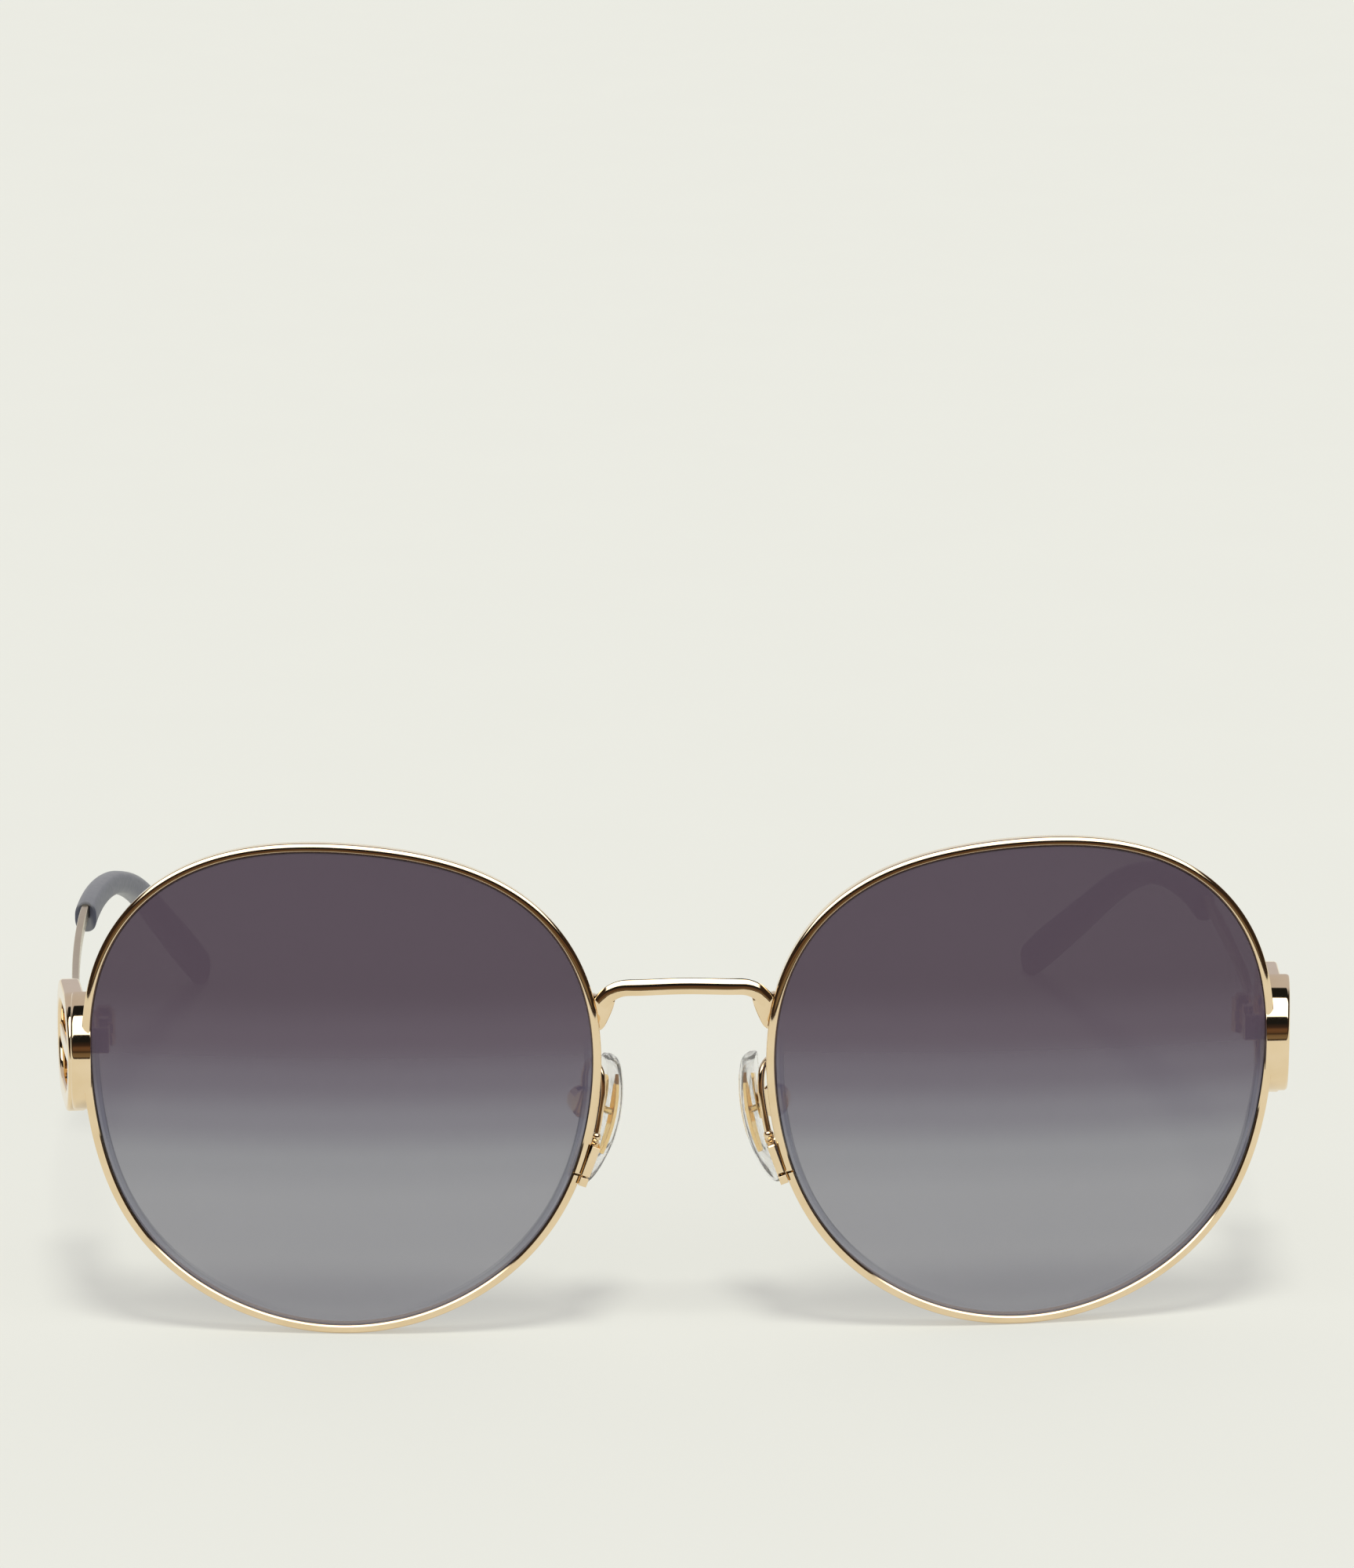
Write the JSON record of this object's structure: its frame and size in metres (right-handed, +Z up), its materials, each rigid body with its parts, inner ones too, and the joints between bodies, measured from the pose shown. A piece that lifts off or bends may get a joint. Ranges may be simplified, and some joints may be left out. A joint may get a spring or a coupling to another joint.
{
  "type": "sunglasses",
  "caption": "Round metal sunglasses with graded tinted lenses, an arched bridge, rocking nose pads, folding temples with oval links and soft bent tips.",
  "frame": {"origin": "on the floor under the middle of the object's box, with the glasses standing open on both rims and both temple tips", "axes": "+X to the wearer's left, +Y back along the temples, +Z up"},
  "size_m": [0.1476, 0.1394, 0.0587],
  "materials": {
    "gold": "polished pale gold plating",
    "lens": "grey violet tint that fades towards the bottom",
    "tip": "satin dark grey",
    "pad": "clear soft silicone",
    "screw": "gold coloured plating"
  },
  "bodies": {
    "front": {"bridge": "gold", "closing_block_lower_left": "gold", "closing_block_lower_right": "gold", "closing_block_upper_left": "gold", "closing_block_upper_right": "gold", "closing_screw_left": "screw", "closing_screw_right": "screw", "end_piece_left": "gold", "end_piece_right": "gold", "hinge_front_leaf_left": "gold", "hinge_front_leaf_right": "gold", "hinge_screw_left": "screw", "hinge_screw_right": "screw", "lens_left": "lens", "lens_right": "lens", "pad_arm_left": "gold", "pad_arm_right": "gold", "pad_box_left": "gold", "pad_box_right": "gold", "pad_screw_left": "screw", "pad_screw_right": "screw", "rim_left": "gold", "rim_right": "gold"},
    "left_temple": {"hinge_temple_leaf_left": "gold", "temple_link_left": "gold", "temple_bar_left": "gold", "temple_tip_left": "tip"},
    "right_temple": {"hinge_temple_leaf_right": "gold", "temple_link_right": "gold", "temple_bar_right": "gold", "temple_tip_right": "tip"},
    "left_pad": {"nose_pad_left": "pad", "pad_core_left": "gold"},
    "right_pad": {"nose_pad_right": "pad", "pad_core_right": "gold"}
  },
  "joints": [
    {"name": "left_temple_hinge", "type": "hinge", "parent": "front", "child": "left_temple", "pos_m": [0.06767, -0.05464, 0.03384], "axis": [0, 0.0803, 0.9968], "range_deg": [0, 87]},
    {"name": "right_temple_hinge", "type": "hinge", "parent": "front", "child": "right_temple", "pos_m": [-0.06767, -0.05464, 0.03384], "axis": [0, -0.0803, -0.9968], "range_deg": [0, 82.5]},
    {"name": "left_pad_rock", "type": "hinge", "parent": "front", "child": "left_pad", "pos_m": [0.01131, -0.06034, 0.02575], "axis": [0.196, 0.9801, -0.0299], "range_deg": [-8, 8]},
    {"name": "right_pad_rock", "type": "hinge", "parent": "front", "child": "right_pad", "pos_m": [-0.01131, -0.06034, 0.02575], "axis": [-0.196, 0.9801, -0.0299], "range_deg": [-8, 8]}
  ]
}
